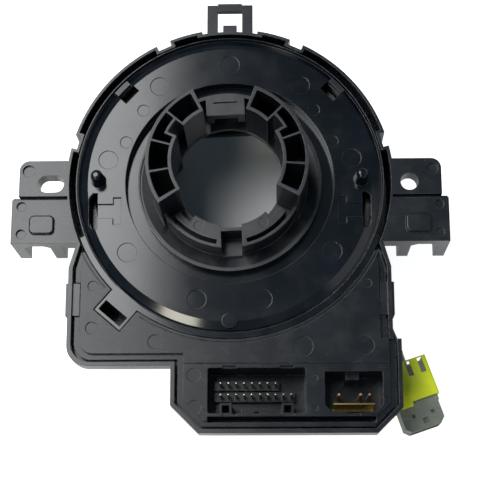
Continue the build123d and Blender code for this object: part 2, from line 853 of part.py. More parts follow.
with BuildPart() as terminal_housing:
    # rim that lies on the case's step, and the raised plate
    with BuildSketch(Plane.XY.offset(skirt_bottom + skirt_wall)):
        add(cover_area(housing_inset))
    extrude(amount=skirt_h - skirt_wall - cover_border_drop)
    with BuildSketch(Plane.XY.offset(plate_top - cover_t)):
        add(cover_area(plate_inset))
    extrude(amount=cover_t)
    # hollow underneath, over the wiring
    with BuildSketch(Plane.XY.offset(skirt_bottom + skirt_wall)):
        add(cover_area(plate_inset + cover_border))
        with Locations((0, block_top_y)):
            Rectangle(
                3 * case_r,
                case_r,
                align=(Align.CENTER, Align.MAX),
                mode=Mode.SUBTRACT,
            )
    extrude(amount=skirt_h - skirt_wall - cover_t, mode=Mode.SUBTRACT)
    # connector block
    with BuildSketch(Plane.XY.offset(block_floor)):
        add(connector_outline(well_inset))
        with Locations((0, block_top_y)):
            Rectangle(
                3 * case_r,
                case_r,
                align=(Align.CENTER, Align.MIN),
                mode=Mode.SUBTRACT,
            )
    extrude(amount=plate_top - block_floor - block_drop)
    with BuildSketch(Plane.XY.offset(plate_top)):
        with Locations((0, block_top_y)):
            Rectangle(3 * case_r, case_r, align=(Align.CENTER, Align.MAX))
    extrude(amount=-block_drop, mode=Mode.SUBTRACT)
    # low tray under the sockets
    with BuildSketch(Plane.XY.offset(plate_top)):
        with Locations((socket_left, socket_bottom - tray_down)):
            Rectangle(
                srs_right - tray_short - socket_left,
                box_bottom + socket_bottom - tray_down - housing_inset - skirt_wall,
                align=(Align.MIN, Align.MAX),
            )
    extrude(amount=-tray_drop, mode=Mode.SUBTRACT)
    # sockets
    with BuildSketch(Plane.XY.offset(plate_top)):
        with Locations(
            ((socket_left + socket_right) / 2, (socket_top + socket_bottom) / 2)
        ):
            RectangleRounded(
                socket_right - socket_left, socket_top - socket_bottom, socket_corner_r
            )
        Polygon(
            (srs_left, srs_top),
            (srs_left, srs_bottom + srs_bevel),
            (srs_left + srs_bevel, srs_bottom),
            (srs_right - srs_bevel, srs_bottom),
            (srs_right, srs_bottom + srs_bevel),
            (srs_right, srs_top),
            align=None,
        )
    extrude(amount=-(plate_top - socket_floor), mode=Mode.SUBTRACT)
    # latch notches in the long walls of the sockets
    with BuildSketch(Plane.XY.offset(plate_top)):
        for x in socket_notch_x:
            with Locations((socket_left + x, socket_top), (socket_left + x, socket_bottom)):
                Rectangle(socket_notch_w, 2 * socket_notch_depth)
        with Locations((srs_left + srs_key_x, srs_bottom)):
            Rectangle(socket_notch_w, 2 * socket_notch_depth)
    extrude(amount=-block_drop - socket_notch_h, mode=Mode.SUBTRACT)
    # raised beds that the main terminals stand in
    with BuildSketch(Plane.XY.offset(socket_floor)):
        for row_y, count in zip(pin_row_y, pin_counts):
            with Locations((socket_left + bed_in, socket_top + row_y)):
                Rectangle(
                    pin_first_x - bed_in + (count - 0.5) * pin_pitch,
                    bed_l,
                    align=(Align.MIN, Align.CENTER),
                )
    extrude(amount=bed_h)
    # keys on the lower wall of the main socket, and one in the airbag socket
    with BuildSketch(Plane.XY.offset(socket_floor)):
        for x in key_x:
            with Locations((socket_left + x, socket_bottom)):
                Rectangle(key_w, key_h, align=(Align.CENTER, Align.MIN))
            with Locations((socket_left + x, socket_bottom + key_h / 2)):
                Rectangle(key_hole, key_hole, mode=Mode.SUBTRACT)
        with Locations((socket_left + centre_key_x, socket_bottom)):
            Rectangle(centre_key_w, key_h / 2, align=(Align.CENTER, Align.MIN))
            Rectangle(
                centre_slot_w,
                key_h / 4,
                align=(Align.CENTER, Align.MIN),
                mode=Mode.SUBTRACT,
            )
        with Locations((srs_left + srs_key_x, srs_top)):
            Rectangle(srs_key_w, srs_key_h, align=(Align.CENTER, Align.MAX))
    extrude(amount=plate_top - key_drop - socket_floor)
    # pilot dimples between the sockets, and moulding marks
    with BuildSketch(Plane.XY.offset(plate_top - block_drop)):
        for y in pilot_y:
            with Locations((socket_right + pilot_x, socket_top + y)):
                Circle(pilot_r)
        for x, y, r in block_marks:
            with Locations((socket_left + x, socket_top + y)):
                Circle(r)
    extrude(amount=-mark_depth, mode=Mode.SUBTRACT)
    with BuildSketch(Plane.XY.offset(plate_top)):
        for x, y, r in cover_marks:
            with Locations((x, y)):
                Circle(r)
        for start, end in (
            (cover_groove_start, window_angle - cover_groove_break),
            (window_angle + cover_groove_break, cover_groove_end),
        ):
            add(
                ring_sector(cover_groove_r, cover_groove_r + cover_groove_w, start, end)
            )
    extrude(amount=-cover_groove_depth, mode=Mode.SUBTRACT)

# ------------------------------------------------------------------ stator terminals
with BuildPart() as main_terminals:
    for row_y, count in zip(pin_row_y, pin_counts):
        for i in range(count):
            with BuildSketch(Plane.XY.offset(socket_floor + bed_h)):
                with Locations(
                    (socket_left + pin_first_x + i * pin_pitch, socket_top + row_y)
                ):
                    Rectangle(pin, pin)
            extrude(amount=pin_h - bed_h)
    chamfer(faces().filter_by(Axis.Z).group_by(Axis.Z)[-1].edges(), pin / 4)

with BuildPart() as srs_terminals:
    for x in srs_pins_x:
        with Locations((srs_left + x, srs_top + srs_pin_y, socket_floor)):
            Cylinder(
                srs_pin_d / 2,
                srs_pin_h,
                align=(Align.CENTER, Align.CENTER, Align.MIN),
            )
    chamfer(edges().filter_by(GeomType.CIRCLE).group_by(Axis.Z)[-1], srs_pin_d / 5)

with BuildPart() as shorting_bar:
    shunt_mid_x = srs_left + (srs_pins_x[0] + srs_pins_x[-1]) / 2
    with BuildSketch(Plane.YZ.offset(shunt_mid_x - shunt_w / 2)):
        with Locations((srs_top + shunt_y, socket_floor)):
            Polygon(
                (-shunt_foot, 0),
                (shunt_t, 0),
                (shunt_t, shunt_h),
                (0, shunt_h),
                (0, shunt_t),
                (-shunt_foot, shunt_t),
                align=None,
            )
    extrude(amount=shunt_w)

with BuildPart() as stator_lead_block:
    with BuildSketch(Plane.XY.offset(floor_top)):
        with Locations((lead_block_x, -chamber_r - chamber_wall - slide_gap)):
            Rectangle(lead_block_w, lead_block_l, align=(Align.CENTER, Align.MAX))
        Circle(chamber_r + chamber_wall + slide_gap, mode=Mode.SUBTRACT)
    extrude(amount=lead_block_h)

# ------------------------------------------------------------------ flat cable
with BuildPart() as outer_cable:
    with BuildSketch(Plane.XY.offset(cable_bottom)):
        Circle(outer_pack_r)
        Circle(outer_pack_in, mode=Mode.SUBTRACT)
    extrude(amount=cable_w)

with BuildPart() as inner_cable:
    with BuildSketch(Plane.XY.offset(cable_bottom)):
        Circle(inner_pack_r)
        Circle(inner_pack_in, mode=Mode.SUBTRACT)
    extrude(amount=cable_w)

# ------------------------------------------------------------------ roller carrier
carrier_bottom = disc_back + slip_t + slide_gap
carrier_top = carrier_bottom + carrier_t
carrier_in = inner_pack_r + carrier_margin
carrier_out = outer_pack_in - carrier_margin
roller_bottom = carrier_top + roller_rise
roller_h = cable_bottom + cable_w - roller_bottom
pin_ring = [
    at(roller_ring_r, carrier_roller_turn + i * 360 / roller_count)
    for i in range(roller_count)
]

with BuildPart() as roller_carrier:
    with BuildSketch(Plane.XY.offset(carrier_bottom)):
        Circle(carrier_out)
        Circle(carrier_in, mode=Mode.SUBTRACT)
    extrude(amount=carrier_t)
    with BuildSketch(Plane.XY.offset(carrier_top)):
        with Locations(*pin_ring):
            Circle(roller_pin_r + 1)
    extrude(amount=roller_rise)
    with BuildSketch(Plane.XY.offset(carrier_top)):
        with Locations(*pin_ring):
            Circle(roller_pin_r)
    extrude(amount=roller_h + roller_rise)
    # half-round guide that the cable turns back on
    with BuildSketch(Plane.XY.offset(carrier_top)):
        with Locations((roller_ring_r, 0)):
            Circle(turn_r - cable_t - slide_gap)
            Circle(turn_r - cable_t - slide_gap - carrier_t, mode=Mode.SUBTRACT)
    extrude(amount=roller_h)

rollers = []
for place in pin_ring:
    with BuildPart() as roller:
        with BuildSketch(Plane.XY.offset(roller_bottom)):
            with Locations(place):
                Circle(roller_r)
                Circle(roller_pin_r + pin_gap, mode=Mode.SUBTRACT)
        extrude(amount=roller_h)
    rollers.append(roller)

with BuildPart() as cable_turn:
    with BuildSketch(Plane.XY.offset(carrier_top + slide_gap)):
        with Locations((roller_ring_r, 0)):
            Circle(turn_r)
            Circle(turn_r - cable_t, mode=Mode.SUBTRACT)
            Rectangle(
                2 * turn_r, 2 * turn_r, align=(Align.CENTER, Align.MAX), mode=Mode.SUBTRACT
            )
    extrude(amount=roller_h - slide_gap)

with BuildPart() as slip_sheet:
    with BuildSketch(Plane.XY.offset(disc_back)):
        Circle(slip_outer_r)
        Circle(slip_inner_r, mode=Mode.SUBTRACT)
    extrude(amount=slip_t)

# ------------------------------------------------------------------ rotor
with BuildPart() as rotor:
    # disc and tube
    with BuildSketch(rotor_turned.offset(front_stand)):
        Circle(rotor_disc_r)
    extrude(amount=disc_t)
    with BuildSketch(rotor_turned.offset(disc_back)):
        Circle(rotor_tube_r)
    extrude(amount=collar_bottom - disc_back)
    # boss, switch connector tower, drive pins and the airbag lead's clip
    with BuildSketch(rotor_turned):
        Circle(boss_r)
        with Locations((0, tower_y)):
            Rectangle(tower_w, tower_l)
            Rectangle(
                tower_w - 2 * tower_wall, tower_l - 2 * tower_wall, mode=Mode.SUBTRACT
            )
    extrude(amount=front_stand)
    with BuildSketch(rotor_turned.offset(front_stand - tower_floor)):
        with Locations((0, tower_y)):
            Rectangle(tower_w, tower_l)
    extrude(amount=tower_floor)
    with BuildSketch(rotor_turned.offset(drive_pin_drop)):
        with Locations((-drive_pin_x, drive_pin_y), (drive_pin_x, drive_pin_y)):
            Circle(drive_pin_d / 2)
    extrude(amount=front_stand - drive_pin_drop)
    with BuildSketch(Plane.XY.offset(slide_gap)):
        with Locations((clip_x, clip_y)):
            Rectangle(clip_w, clip_l)
    extrude(amount=front_stand - slide_gap)
    # bore, wider in the tube and in the cable way, which the boss leaves open
    with BuildSketch(rotor_turned):
        Circle(rotor_bore_r)
    extrude(amount=disc_back, mode=Mode.SUBTRACT)
    with BuildSketch(rotor_turned.offset(disc_back)):
        Circle(rotor_tube_bore)
    extrude(amount=plate_top, mode=Mode.SUBTRACT)
    with BuildSketch(rotor_turned):
        add(ring_sector(1, boss_r + 1, cable_way_start, 180 - cable_way_start))
    extrude(amount=front_stand, mode=Mode.SUBTRACT)
    with BuildSketch(rotor_turned.offset(front_stand)):
        add(
            ring_sector(
                1, rotor_tube_bore, cable_way_start, 180 - cable_way_start
            )
        )
        with Locations((0, cable_way_flat)):
            Rectangle(
                2 * rotor_tube_bore,
                rotor_tube_bore,
                align=(Align.CENTER, Align.MIN),
                mode=Mode.SUBTRACT,
            )
    extrude(amount=disc_t, mode=Mode.SUBTRACT)

with BuildPart() as switch_terminals:
    for row_y in switch_pin_rows:
        for i in range(switch_pin_count):
            with BuildSketch(rotor_turned.offset(front_stand - tower_floor)):
                with Locations(
                    ((i - (switch_pin_count - 1) / 2) * switch_pin_pitch, row_y)
                ):
                    Rectangle(pin, pin)
            extrude(amount=-switch_pin_h)

# ------------------------------------------------------------------ hub sleeve
base_top = plate_top - collar_floor_drop
low_top = hub_top - low_drop
latch_top = hub_top - latch_drop
mid_r = (hub_bore_r + hub_r) / 2
rib_half = degrees(hub_rib / 2 / mid_r)
end_half = degrees(hub_end_wall / mid_r)
pocket_in = hub_bore_r + hub_inner_wall
pocket_out = hub_r - hub_wall
web_top = base_top + hub_web
root = web_top - hub_web_t / 2  # the sectors are rooted in the sleeve's floor
collar_root = base_top - hub_wall / 2


def both_sides(inner, outer, start, end):
    """A ring sector on the right of the hub and its mirror image on the left."""
    with BuildSketch(mode=Mode.PRIVATE) as pair:
        add(ring_sector(inner, outer, start, end))
        add(ring_sector(inner, outer, 180 - end, 180 - start))
    return pair.sketch


with BuildPart() as hub_sleeve:
    # collar that runs on the dish cover's ledge, its skirt, neck and floor
    with BuildSketch(Plane.XZ):
        with BuildLine():
            Polyline(
                (hub_neck_r, collar_bottom - hub_skirt_h),
                (hub_skirt_r, collar_bottom - hub_skirt_h),
                (hub_skirt_r, collar_bottom),
                (collar_r, collar_bottom),
                (collar_r, plate_top),
                (collar_r - collar_lip, plate_top),
                (collar_r - collar_lip, plate_top - collar_lip_h),
                (collar_r - 2 * collar_lip, plate_top - collar_lip_h),
                (low_r, base_top),
                (low_r, web_top),
                (0, web_top),
                (0, web_top - hub_web_t),
                (hub_neck_r, web_top - hub_web_t),
                close=True,
            )
        make_face()
    revolve(axis=Axis.Z)
    with BuildSketch(rotor_turned.offset(collar_root)):
        add(both_sides(low_r - hub_wall / 2, hub_r, high_start, high_end))
    extrude(amount=root - collar_root)
    # two high sectors with their pockets
    with BuildSketch(rotor_turned.offset(root)):
        add(both_sides(hub_bore_r - 1, hub_r, high_start, high_end))
        stops = [high_start + end_half] + sorted(rib_angles) + [high_end - end_half]
        for i, low in enumerate(stops[:-1]):
            high = stops[i + 1]
            start = low + (0 if i == 0 else rib_half)
            end = high - (0 if i == len(stops) - 2 else rib_half)
            if low < key_end < high:
                key_stop = key_end - degrees(key_wall / key_r)
                add(
                    both_sides(pocket_in, pocket_out, start, key_stop),
                    mode=Mode.SUBTRACT,
                )
                add(
                    both_sides(key_r + key_wall, pocket_out, key_stop - 0.1, end),
                    mode=Mode.SUBTRACT,
                )
                add(
                    both_sides(hub_bore_r - 2, key_r, key_end, end),
                    mode=Mode.SUBTRACT,
                )
            else:
                add(both_sides(pocket_in, pocket_out, start, end), mode=Mode.SUBTRACT)
    extrude(amount=hub_top - root)
    # low sectors, cut back at their ends, with arc slots in them
    with BuildSketch(rotor_turned.offset(root)):
        add(ring_sector(low_inner_r, low_r, 180 - low_start, 360 + low_start))
        add(
            ring_sector(
                hub_bore_r - 1,
                low_inner_r + hub_wall,
                180 - low_inner_start,
                360 + low_inner_start,
            )
        )
        add(both_sides(low_slot_out, low_r, low_start - 1, high_start + 1))
        add(
            both_sides(low_slot_in, low_slot_out, low_slot_end, low_start + 1),
            mode=Mode.SUBTRACT,
        )
    extrude(amount=low_top - root)
    # bottom of the channel between them, below the sleeve's floor
    with BuildSketch(rotor_turned.offset(base_top - hub_wall)):
        with Locations((0, channel_bar - channel_in)):
            Rectangle(
                2 * (channel_half_w + hub_wall),
                hub_neck_r + hub_wall / 2 - channel_in + channel_bar,
                align=(Align.CENTER, Align.MAX),
            )
    extrude(amount=root - base_top + hub_wall)
    # the channel, with a bar across its inner end and a step at its outer end
    with BuildSketch(rotor_turned.offset(base_top)):
        with Locations((0, -channel_in)):
            Rectangle(
                2 * channel_half_w,
                low_r + hub_wall / 5 - channel_in,
                align=(Align.CENTER, Align.MAX),
            )
    extrude(amount=low_top - base_top, mode=Mode.SUBTRACT)
    with BuildSketch(rotor_turned.offset(web_top)):
        with Locations((0, channel_bar - channel_in)):
            Rectangle(
                2 * channel_half_w,
                channel_in - channel_bar,
                align=(Align.CENTER, Align.MIN),
            )
    extrude(amount=low_top - web_top, mode=Mode.SUBTRACT)
    with BuildSketch(rotor_turned.offset(collar_root)):
        with Locations((0, -channel_step_in)):
            Rectangle(
                2 * (channel_half_w - slide_gap),
                low_r + hub_wall / 2 - channel_step_in,
                align=(Align.CENTER, Align.MAX),
            )
    extrude(amount=base_top + channel_step - collar_root)
    with BuildSketch(rotor_turned.offset(low_top)):
        for angle in (low_mark_angle, 180 - low_mark_angle):
            with Locations(at(low_mark_ring_r, angle)):
                Circle(low_mark_r)
    extrude(amount=-mark_depth, mode=Mode.SUBTRACT)
    # wall behind the latch, and the latch bridge with its arch
    with BuildSketch(rotor_turned.offset(collar_root)):
        add(ring_sector(pocket_out, hub_r, high_end - 1, 181 - high_end))
    extrude(amount=latch_top - collar_root)
    with BuildSketch(rotor_turned.offset(latch_top)):
        with Locations((0, latch_in)):
            Rectangle(
                2 * latch_half_w,
                pocket_out + hub_wall / 5 - latch_in,
                align=(Align.CENTER, Align.MIN),
            )
    extrude(amount=-latch_h)
    with BuildSketch(rotor_turned.offset(latch_top - latch_h)):
        with Locations((0, latch_in - 1)):
            Rectangle(
                2 * (latch_half_w - latch_foot_w),
                latch_arch_l + 1,
                align=(Align.CENTER, Align.MIN),
            )
    extrude(amount=latch_arch_h, mode=Mode.SUBTRACT)
    with BuildSketch(rotor_turned.offset(latch_top)):
        with Locations((0, latch_out)):
            Rectangle(2 * (latch_half_w - latch_foot_w), latch_slot_w)
    extrude(amount=-latch_slot_depth, mode=Mode.SUBTRACT)
    # the bore the steering shaft passes through, closer in the sleeve's floor
    with BuildSketch(Plane.XY.offset(hub_top)):
        Circle(hub_bore_r)
    extrude(amount=web_top - hub_top, mode=Mode.SUBTRACT)
    with BuildSketch(Plane.XY.offset(web_top)):
        Circle(hub_floor_bore_r)
    extrude(amount=-hub_web_t - hub_wall / 2, mode=Mode.SUBTRACT)

# ------------------------------------------------------------------ airbag lead
axis_x = sin(radians(plug_turn))
axis_y = -cos(radians(plug_turn))
side_dir_x = cos(radians(plug_turn))
side_dir_y = sin(radians(plug_turn))


def plug_plane(along, height):
    """A plane across the plug, a distance along it from its wire end."""
    return Plane(
        origin=(
            plug_wire_end[0] + along * axis_x,
            plug_wire_end[1] + along * axis_y,
            height,
        ),
        x_dir=(side_dir_x, side_dir_y, 0),
        z_dir=(axis_x, axis_y, 0),
    )


def plug_top(height):
    """A plane on top of the plug, with -Y along it from its wire end."""
    return Plane(
        origin=(plug_wire_end[0], plug_wire_end[1], plug_mid + height),
        x_dir=(side_dir_x, side_dir_y, 0),
        z_dir=(0, 0, 1),
    )


plug_mid = sleeve_t / 2 + slide_gap / 6
tube_stop = plug_plane(-wire_l, plug_mid).origin
tube_turn = plug_plane(-wire_l - lead_last, plug_mid).origin
lead_route = (
    (lead_way[0][0], clip_y - clip_l / 2, lead_z),
    *lead_way,
    tuple(tube_turn),
    tuple(tube_stop),
)
lead_radii = []
for before, here, after in zip(lead_route, lead_route[1:], lead_route[2:]):
    run_in = Vector(*here) - Vector(*before)
    run_out = Vector(*after) - Vector(*here)
    turn = radians(run_in.get_angle(run_out))
    lead_radii.append(0.45 * min(run_in.length, run_out.length) / tan(turn / 2))
print("lead bend radii", [round(r, 1) for r in lead_radii])

with BuildPart() as lead_tube:
    with BuildLine():
        lead_path = FilletPolyline(*lead_route, radius=lead_radii)
    with BuildSketch(Plane(origin=lead_path @ 0, z_dir=lead_path % 0)):
        Circle(tube_d / 2)
    sweep()
lead_length = lead_path.length
print("lead length", round(lead_length, 2), "volume", round(lead_tube.part.volume, 2))

wires = []
for side in (-1, 1):
    with BuildPart() as wire:
        with BuildSketch(plug_plane(-wire_l, plug_mid)):
            with Locations((side * (wire_d + wire_gap) / 2, 0)):
                Circle(wire_d / 2)
        extrude(amount=wire_l + plug_set_in)
    wires.append(wire)
green_wire, white_wire = wires

with BuildPart() as plug_body:
    with BuildSketch(plug_top(-plug_body_t / 2)):
        Polygon(
            (-plug_body_w / 2, -plug_set_in),
            (-plug_body_w / 2, plug_corner - plug_l),
            (plug_corner - plug_body_w / 2, -plug_l),
            (plug_body_w / 2 - plug_corner, -plug_l),
            (plug_body_w / 2, plug_corner - plug_l),
            (plug_body_w / 2, -plug_set_in),
            align=None,
        )
    extrude(amount=plug_body_t)
    with BuildSketch(plug_plane(plug_l, plug_mid)):
        Rectangle(plug_mouth_w, plug_mouth_t)
    extrude(amount=-plug_mouth_depth, mode=Mode.SUBTRACT)
    # square windows over the body's catches
    with BuildSketch(plug_top(plug_body_t / 2)):
        for side, along, size in body_holes:
            with Locations((side, -along)):
                Rectangle(size, size)
    extrude(amount=-body_hole_depth, mode=Mode.SUBTRACT)

with BuildPart() as plug_sleeve:
    with BuildSketch(plug_plane(0, plug_mid)):
        RectangleRounded(sleeve_w, sleeve_t, sleeve_wall)
        Rectangle(
            sleeve_w - 2 * sleeve_wall, plug_body_t + 2 * slide_gap, mode=Mode.SUBTRACT
        )
    extrude(amount=sleeve_l)
    # slots at the wire end, and the stepped end over the nose
    with BuildSketch(plug_top(sleeve_t)):
        for side in sleeve_slots:
            with Locations((side, -sleeve_slot_from)):
                Rectangle(
                    sleeve_slot_w, sleeve_slot_l, align=(Align.CENTER, Align.MAX)
                )
        with Locations((sleeve_w / 2, -sleeve_l)):
            Rectangle(
                2 * sleeve_step_w, 2 * sleeve_step
            )
    extrude(amount=-sleeve_t, mode=Mode.SUBTRACT)

with BuildPart() as plug_terminals:
    for side in (-1, 1):
        with BuildSketch(plug_plane(plug_l - plug_mouth_depth, plug_mid)):
            with Locations((side * plug_mouth_w / 4, 0)):
                Circle(pin)
        extrude(amount=plug_pin_l)

# ------------------------------------------------------------------ the pieces
pieces = {
    "stator_case": stator_case,
    "dish_cover": dish_cover,
    "terminal_housing": terminal_housing,
    "main_terminals": main_terminals,
    "srs_terminals": srs_terminals,
    "shorting_bar": shorting_bar,
    "stator_lead_block": stator_lead_block,
    "outer_cable": outer_cable,
    "inner_cable": inner_cable,
    "cable_turn": cable_turn,
    "roller_carrier": roller_carrier,
    "slip_sheet": slip_sheet,
    "rotor": rotor,
    "switch_terminals": switch_terminals,
    "hub_sleeve": hub_sleeve,
    "lead_tube": lead_tube,
    "green_wire": green_wire,
    "white_wire": white_wire,
    "plug_body": plug_body,
    "plug_sleeve": plug_sleeve,
    "plug_terminals": plug_terminals,
}
for number, roller in enumerate(rollers, start=1):
    pieces[f"roller_{number}"] = roller

for name, piece in pieces.items():
    piece.part.label = name
    export_step(piece.part, f"parts/{name}.step")
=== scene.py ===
import bmesh
import bpy
from bpy.props import FloatProperty, FloatVectorProperty, PointerProperty
from mathutils import Matrix, Vector


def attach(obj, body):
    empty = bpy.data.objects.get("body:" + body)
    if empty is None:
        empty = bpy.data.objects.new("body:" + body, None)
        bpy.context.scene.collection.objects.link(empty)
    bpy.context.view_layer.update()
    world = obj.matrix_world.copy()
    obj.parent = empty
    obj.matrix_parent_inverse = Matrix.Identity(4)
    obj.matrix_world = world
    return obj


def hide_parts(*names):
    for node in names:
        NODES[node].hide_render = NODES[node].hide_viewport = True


bl_info = {
    "name": "Steering Clock Spring",
    "version": (1, 0, 0),
    "blender": (4, 5, 0),
    "location": "View3D > Sidebar > Clock Spring",
    "description": "Finishes and small pieces of a steering clock spring",
    "category": "Add Mesh",
}

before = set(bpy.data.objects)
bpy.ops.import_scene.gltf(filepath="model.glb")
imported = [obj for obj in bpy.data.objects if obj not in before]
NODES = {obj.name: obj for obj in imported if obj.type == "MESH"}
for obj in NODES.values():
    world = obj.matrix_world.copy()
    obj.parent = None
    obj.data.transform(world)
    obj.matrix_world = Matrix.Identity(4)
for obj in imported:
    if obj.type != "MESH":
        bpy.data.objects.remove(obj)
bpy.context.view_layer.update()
MM = 0.001

# Patterns, in features per metre.
GRAIN_SCALE = 9000.0
SLEEVING_GRAIN = 4000.0
FLOW_SCALE = 60.0
# Patches where the edges get the painted highlight and wear.
EDGE_LIGHT_AND_WEAR_SCALE = 420.0
RUB_SCALE = 260.0
SPECK_SCALE = 900.0
HAZE_SCALE = 150.0
BEVEL_SAMPLES = 6
GRAIN_DEPTH = 0.02 * MM
PIN_EDGE_RADIUS = 0.08 * MM

# The lead's control points, in millimetres, from the rotor's clip to the plug.
LEAD_ROUTE = (
    (39.6, -9.4, 4.6),
    (39.6, -17.0, 4.6),
    (42.6, -26.5, 3.0),
    (47.2, -35.6, 3.2),
    (50.777, -44.239, 5.85),
    (52.893, -50.385, 5.85),
)

# The stage, in metres.
WHITE = (1.0, 1.0, 1.0)
FLOOR_HALF = 4.0
FLOOR_DROP = 0.0003
FLOOR_SHADED_TO = 0.030
FLOOR_WHITE_FROM = 0.050
FLOOR_LIFT = 0.9
FLOOR_GLOSSY_SHARE = 0.4
MIDDLE = (0.0, 0.0, 0.03)
SKY_TINT = (0.58, 0.80, 1.0)
SENSOR_MM = 36.0
CAMERA_NEAR = 0.01
CAMERA_PLACE = (0.014394, -0.127141, 0.444855)
CAMERA_TARGET = (0.003243, -0.018910, 0.032)
# Each lamp's name, place, width, depth, power setting and tint.
LAMPS = (
    ("key_lamp", (-0.37, 0.24, 1.03), 0.52, 0.62, "key_power", WHITE),
    ("warm_lamp", (-0.43, -0.72, 0.88), 0.26, 0.26, "warm_power", (1.0, 0.97, 0.82)),
    ("fill_lamp", (0.9, -0.1, 0.9), 0.5, 0.9, "fill_power", WHITE),
)


def colour(name, default, description):
    """A colour setting for one finish."""
    return FloatVectorProperty(
        name=name,
        description=description,
        subtype="COLOR",
        size=3,
        min=0.0,
        max=1.0,
        default=default,
    )


def length(name, millimetres, description):
    """A size setting, given in millimetres and kept in metres."""
    return FloatProperty(
        name=name,
        description=description,
        default=millimetres * MM,
        min=0.0,
        unit="LENGTH",
        precision=5,
    )


def amount(name, default, description, top=1.0):
    """A plain number setting."""
    return FloatProperty(
        name=name, description=description, default=default, min=0.0, max=top
    )


# ---------------------------------------------------------------- settings
class FinishSettings(bpy.types.PropertyGroup):
    """Colours and gloss of the mouldings, metal and lead."""

    case_black: colour("Case black", (0.0045, 0.0065, 0.0100), "Case moulding")
    dish_black: colour("Dish black", (0.0035, 0.0055, 0.0090), "Polished dish")
    hub_black: colour("Hub black", (0.0060, 0.0080, 0.0115), "Ribbed hub sleeve")
    # Lighter edge colour: a painted highlight along the moulded edges, partly wear from
    # handling.
    edge_highlight_and_wear: colour("Rubbed edge", (0.20, 0.22, 0.24), "Edges worn by handling")
    dust_grey: colour("Dust", (0.23, 0.23, 0.22), "Fine dust that settles on faces")
    pin_metal: colour("Pins", (0.86, 0.78, 0.62), "Tinned terminals")
    airbag_pin: colour("Airbag pins", (0.80, 0.46, 0.24), "Copper-coloured pins")
    gold: colour("Shorting strip", (0.40, 0.27, 0.09), "Gold-coloured strip")
    sleeve_yellow: colour("Locking sleeve", (0.76, 0.84, 0.008), "Yellow sleeve")
    plug_grey: colour("Plug", (0.20, 0.21, 0.175), "Grey plug body")
    wire_green: colour("Green wire", (0.010, 0.145, 0.060), "Green insulation")
    wire_white: colour("White wire", (0.42, 0.43, 0.40), "White insulation")
    sleeving_black: colour("Sleeving", (0.010, 0.010, 0.011), "Black sleeving")
    # The flat cable is painted near-black as painted shade: it is seen only deep in the
    # slots, in shadow.
    film_painted_shade: colour("Flat cable", (0.016, 0.015, 0.014), "Flat cable film")
    nylon: colour("Nylon", (0.62, 0.61, 0.57), "Rollers and carrier")
    edge_radius: length("Edge radius", 0.22, "Rounding of the moulded edges")


class LeadSettings(bpy.types.PropertyGroup):
    """Sizes of the airbag lead."""

    tube_d: length("Sleeving", 4.0, "Diameter of the black sleeving")


class StageSettings(bpy.types.PropertyGroup):
    """Camera, floor and lamps."""

    focal: FloatProperty(
        name="Lens",
        description="Focal length on a 36 mm sensor",
        default=103.71,
        min=1.0,
        unit="CAMERA",
    )
    floor: colour("Floor", (0.88, 0.88, 0.88), "Pale floor")
    key_power: amount("Key lamp", 8.0, "Power of the large soft lamp", 500.0)
    warm_power: amount("Warm lamp", 3.0, "Power of the low warm lamp", 500.0)
    fill_power: amount("Fill lamp", 0.9, "Power of the fill lamp", 500.0)
    sky: amount("Sky", 0.19, "Strength of the even sky", 10.0)


# ---------------------------------------------------------------- node helpers
def new_group(name, inputs, outputs):
    """A shader node group with named sockets; returns it with its end nodes."""
    group = bpy.data.node_groups.new(name, "ShaderNodeTree")
    for label, kind, default in inputs:
        socket = group.interface.new_socket(label, in_out="INPUT", socket_type=kind)
        if default is not None:
            socket.default_value = default
    for label, kind in outputs:
        group.interface.new_socket(label, in_out="OUTPUT", socket_type=kind)
    return group, group.nodes.new("NodeGroupInput"), group.nodes.new("NodeGroupOutput")


def put(tree, kind, links=None, **values):
    """Adds a node, sets its properties and its unlinked sockets, and links the rest."""
    node = tree.nodes.new(kind)
    for key, value in values.items():
        setattr(node, key, value)
    for key, value in (links or {}).items():
        socket = node.inputs[key]
        if isinstance(value, bpy.types.NodeSocket):
            tree.links.new(value, socket)
        else:
            socket.default_value = value
    return node


def maths(tree, operation, a, b=0.0, clamp=False):
    """A Math node's output."""
    node = put(tree, "ShaderNodeMath", {0: a, 1: b}, operation=operation)
    node.use_clamp = clamp
    return node.outputs[0]


def remap(tree, value, low, high, to_low=0.0, to_high=1.0):
    """A smooth, clamped remap of a value."""
    links = {0: value, 1: low, 2: high, 3: to_low, 4: to_high}
    node = put(tree, "ShaderNodeMapRange", links, interpolation_type="SMOOTHSTEP")
    return node.outputs[0]


def blend_colour(tree, factor, a, b):
    """A colour mix's output."""
    node = tree.nodes.new("ShaderNodeMix")
    node.data_type = "RGBA"
    for index, value in ((0, factor), (6, a), (7, b)):
        if isinstance(value, bpy.types.NodeSocket):
            tree.links.new(value, node.inputs[index])
        elif index == 0:
            node.inputs[index].default_value = value
        else:
            node.inputs[index].default_value = (*value, 1.0)
    return node.outputs[2]


